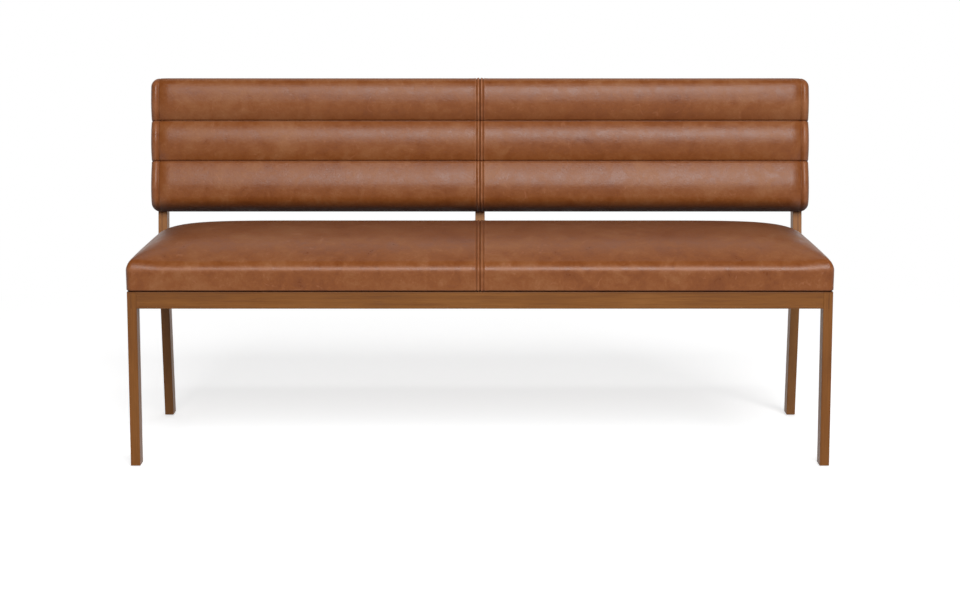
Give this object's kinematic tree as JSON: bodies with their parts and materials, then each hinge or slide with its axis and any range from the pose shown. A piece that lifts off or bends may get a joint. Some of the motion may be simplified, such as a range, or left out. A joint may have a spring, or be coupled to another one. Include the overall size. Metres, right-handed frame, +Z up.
{
  "type": "upholstered banquette bench",
  "caption": "Armless dining bench with a slim wooden frame, a crowned leather seat and a horizontally channelled leather back pad on three leaning posts.",
  "frame": {"origin": "on the floor, under the middle of the bench's whole width and depth", "axes": "+X to the right as seen from the front, +Y to the back, +Z up; the front faces -Y"},
  "size_m": [1.547, 0.5956, 0.816],
  "materials": {
    "frame_wood": "satin stain and lacquer, straight grain",
    "plywood": "raw birch plywood",
    "leather": "semi-gloss, lightly mottled full-grain hide",
    "foam": "open-cell upholstery foam",
    "dust_cloth": "thin non-woven cloth",
    "screw_steel": "zinc plated",
    "bolt_steel": "black oxide",
    "glide_plastic": "moulded nylon"
  },
  "bodies": {
    "root": {"back_board": "plywood", "back_bolt_washers": "bolt_steel", "back_bolts": "bolt_steel", "back_cover_left": "leather", "back_cover_right": "leather", "back_foam_lower": "foam", "back_foam_middle": "foam", "back_foam_upper": "foam", "back_rail": "frame_wood", "back_rear_cover": "leather", "back_tee_nuts": "bolt_steel", "centre_post": "frame_wood", "centre_post_screws": "screw_steel", "corner_block_front_left": "frame_wood", "corner_block_front_right": "frame_wood", "corner_block_rear_left": "frame_wood", "corner_block_rear_right": "frame_wood", "corner_block_screws": "screw_steel", "cross_rail_left": "frame_wood", "cross_rail_right": "frame_wood", "foot_glides": "glide_plastic", "front_leg_left": "frame_wood", "front_leg_right": "frame_wood", "front_rail": "frame_wood", "glide_nails": "screw_steel", "rear_leg_left": "frame_wood", "rear_leg_right": "frame_wood", "seat_board": "plywood", "seat_board_screws": "screw_steel", "seat_cover_left": "leather", "seat_cover_right": "leather", "seat_dust_cloth": "dust_cloth", "seat_foam": "foam", "side_rail_left": "frame_wood", "side_rail_right": "frame_wood"}
  },
  "joints": []
}
